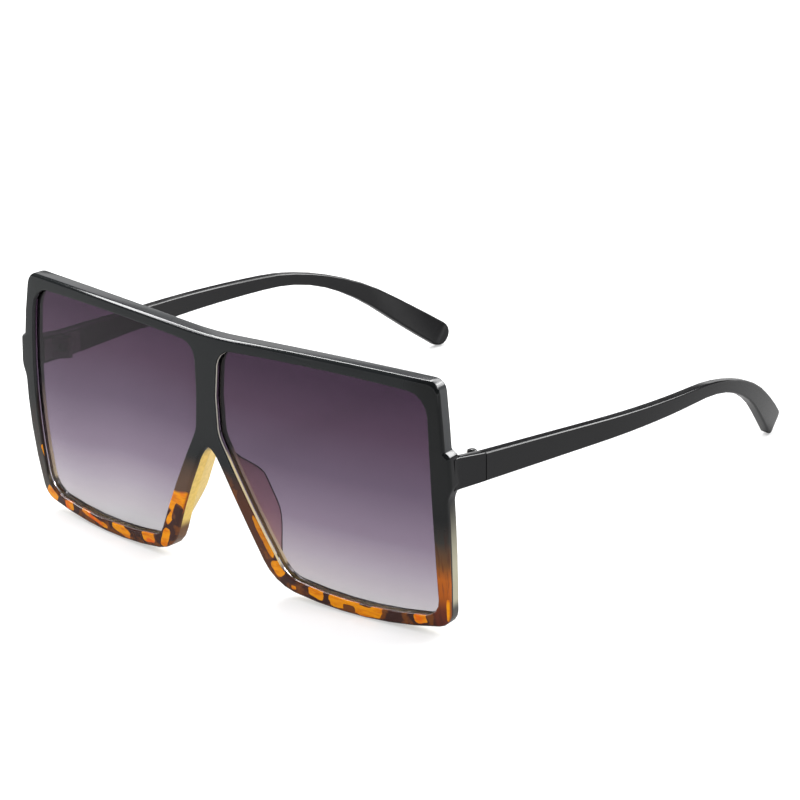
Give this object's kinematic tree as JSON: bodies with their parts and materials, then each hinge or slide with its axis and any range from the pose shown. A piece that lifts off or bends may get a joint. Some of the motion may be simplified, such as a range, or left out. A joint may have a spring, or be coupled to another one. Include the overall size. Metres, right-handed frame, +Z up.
{
  "type": "square sunglasses",
  "caption": "Oversized square sunglasses with a flat-top moulded front, gradient lenses, moulded nose pads and temples that fold on metal hinges.",
  "frame": {"origin": "on the floor under the middle of the box round the open sunglasses", "axes": "+X to the wearer's left, +Y back along the temples towards the ears, +Z up; the front faces -Y and the sunglasses stand open on the lower rims and the temple tips"},
  "size_m": [0.1626, 0.1528, 0.0673],
  "materials": {
    "front_plastic": "glossy slate grey fading to a tortoise print, pale champagne behind",
    "temple_plastic": "glossy black",
    "lens": "clear plastic with a purple-grey gradient tint",
    "hinge_metal": "plain nickel",
    "screw_metal": "turned steel"
  },
  "bodies": {
    "front": {"front_frame": "front_plastic", "left_lens": "lens", "right_lens": "lens", "left_front_hinge_leaf": "hinge_metal", "right_front_hinge_leaf": "hinge_metal", "left_hinge_screw": "screw_metal", "right_hinge_screw": "screw_metal"},
    "left_arm": {"left_temple": "temple_plastic", "left_temple_hinge_leaf": "hinge_metal"},
    "right_arm": {"right_temple": "temple_plastic", "right_temple_hinge_leaf": "hinge_metal"}
  },
  "joints": [
    {"name": "left_temple_fold", "type": "hinge", "parent": "front", "child": "left_arm", "pos_m": [0.0729, -0.05618, 0.04201], "axis": [0, 0.1123, 0.9937], "range_deg": [0, 88]},
    {"name": "right_temple_fold", "type": "hinge", "parent": "front", "child": "right_arm", "pos_m": [-0.0729, -0.05618, 0.04201], "axis": [0, -0.1123, -0.9937], "range_deg": [0, 83]}
  ]
}
